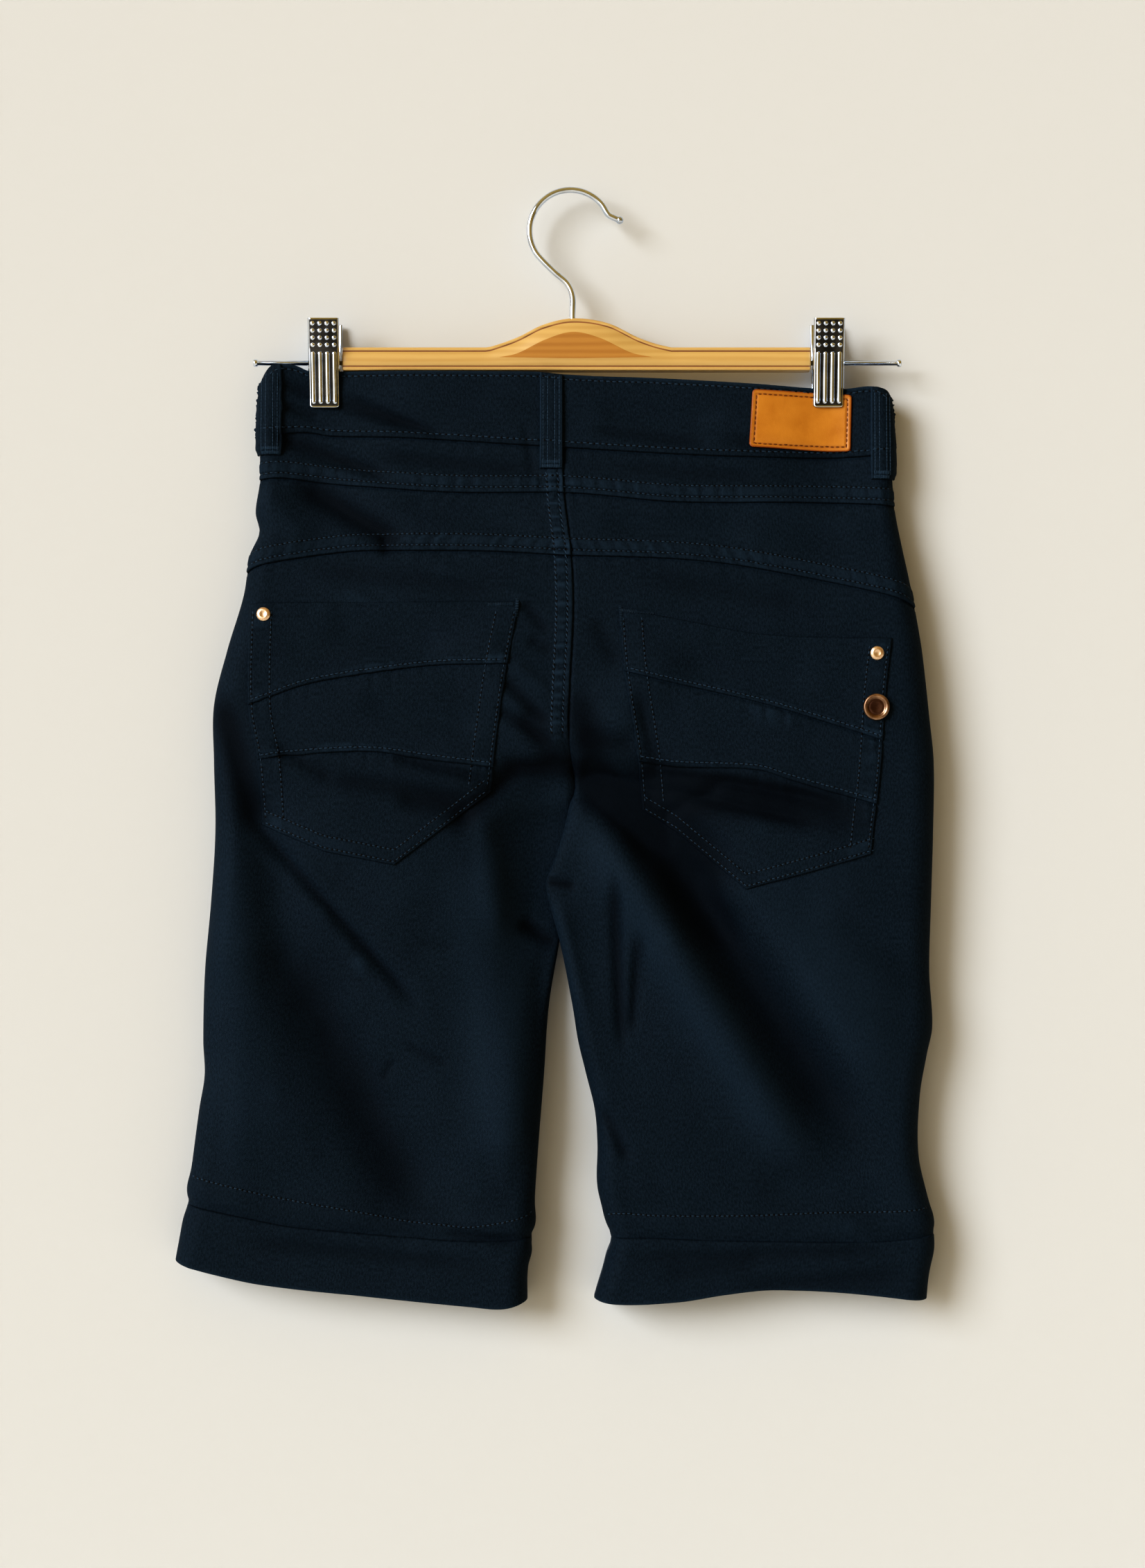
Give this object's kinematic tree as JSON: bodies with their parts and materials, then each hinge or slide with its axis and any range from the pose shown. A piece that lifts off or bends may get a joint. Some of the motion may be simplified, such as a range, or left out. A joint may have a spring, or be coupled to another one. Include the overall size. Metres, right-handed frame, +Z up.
{
  "type": "bermuda shorts on a wooden clip hanger",
  "caption": "Knee-length jeans-style shorts with turned-up hems, hung flat and empty by the waist from two metal clips on a slim wooden hanger with a wire hook.",
  "frame": {"origin": "inside top of the hanger's hook, where a rail would hold it", "axes": "+Z up along the garment's length, -Y out of the back of the garment, +X to the wearer's right"},
  "size_m": [0.4844, 0.0394, 0.7099],
  "materials": {
    "cloth": "dark navy stretch cotton twill",
    "leather": "tan with darker edges",
    "copper": "aged copper plate",
    "chrome": "polished",
    "wood": "clear satin lacquer",
    "dark_wood": "stained, satin"
  },
  "bodies": {
    "root": {"back_leg_left": "cloth", "back_rise_left": "cloth", "back_leg_right": "cloth", "back_rise_right": "cloth", "front_leg_left": "cloth", "front_rise_left": "cloth", "front_leg_right": "cloth", "front_rise_right": "cloth", "cuff_back_left": "cloth", "cuff_back_right": "cloth", "cuff_front_left": "cloth", "cuff_front_right": "cloth", "back_yoke_left": "cloth", "back_yoke_right": "cloth", "back_basque_left": "cloth", "back_basque_right": "cloth", "waistband_back": "cloth", "waistband_front_left": "cloth", "waistband_front_right": "cloth", "belt_loop_centre": "cloth", "belt_loop_left": "cloth", "belt_loop_right": "cloth", "belt_loop_front_left": "cloth", "belt_loop_front_right": "cloth", "pocket_left_upper": "cloth", "pocket_left_middle": "cloth", "pocket_left_lower": "cloth", "pocket_right_upper": "cloth", "pocket_right_middle": "cloth", "pocket_right_lower": "cloth", "leather_patch": "leather", "fly_placket": "cloth", "rivet_left": "copper", "rivet_right": "copper", "pocket_button": "copper", "waist_button": "copper", "hanger_bar": "wood", "bar_inlay": "dark_wood", "side_rod_left": "chrome", "side_rod_right": "chrome", "hook": "chrome", "clip_left_back_jaw": "chrome", "clip_left_front_jaw": "chrome", "clip_left_spring": "chrome", "clip_right_back_jaw": "chrome", "clip_right_front_jaw": "chrome", "clip_right_spring": "chrome"}
  },
  "joints": []
}
